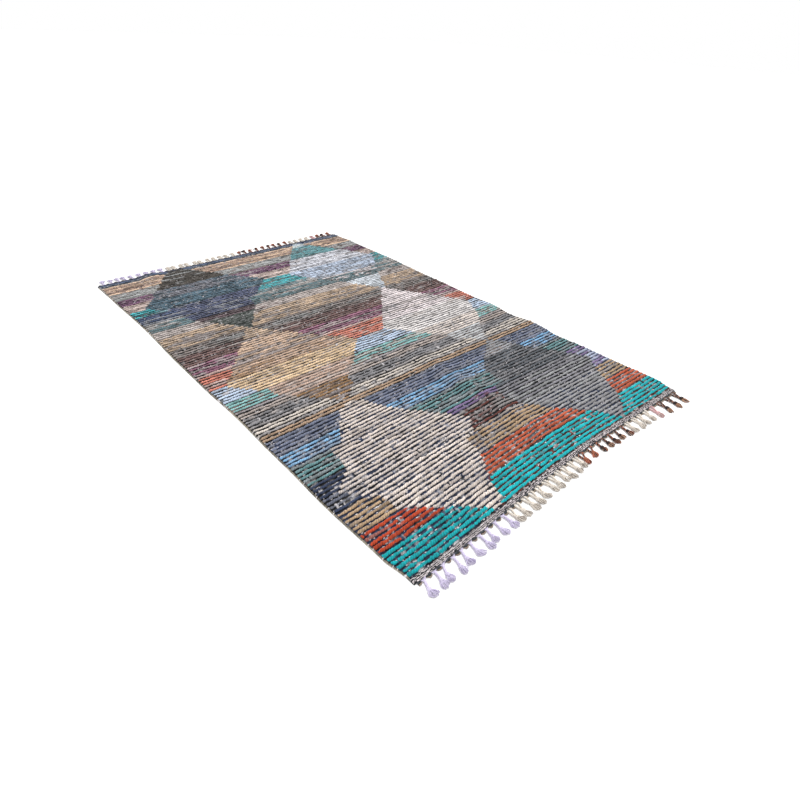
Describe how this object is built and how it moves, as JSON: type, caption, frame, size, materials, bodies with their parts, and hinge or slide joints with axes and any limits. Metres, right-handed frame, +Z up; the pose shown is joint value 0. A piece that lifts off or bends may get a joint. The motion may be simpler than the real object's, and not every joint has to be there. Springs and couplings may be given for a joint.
{
  "type": "rug",
  "caption": "Rectangular hand-woven rug lying flat, with raised crosswise ribs of thick yarn and a row of knotted tassels along both ends.",
  "frame": {"origin": "on the floor, under the middle of the box around the rug and its tassels", "axes": "+X across the rug, +Y along it from the near end to the far end, +Z up from the floor"},
  "size_m": [1.539, 2.5366, 0.0203],
  "materials": {
    "ribbed_wool": "hand-woven wool, thick raised yarn ribs in many colours over a dark speckled plain weave, matt",
    "near_fringe_yarn": "speckled plain-woven strip and soft twisted yarn tassels in lilac, cream, rust, pink and brown, matt",
    "far_fringe_yarn": "slate blue woven strip and soft twisted yarn tassels in lilac, cream, rust and brown, matt"
  },
  "bodies": {
    "root": {"rug_field": "ribbed_wool", "near_fringe": "near_fringe_yarn", "far_fringe": "far_fringe_yarn"}
  },
  "joints": []
}
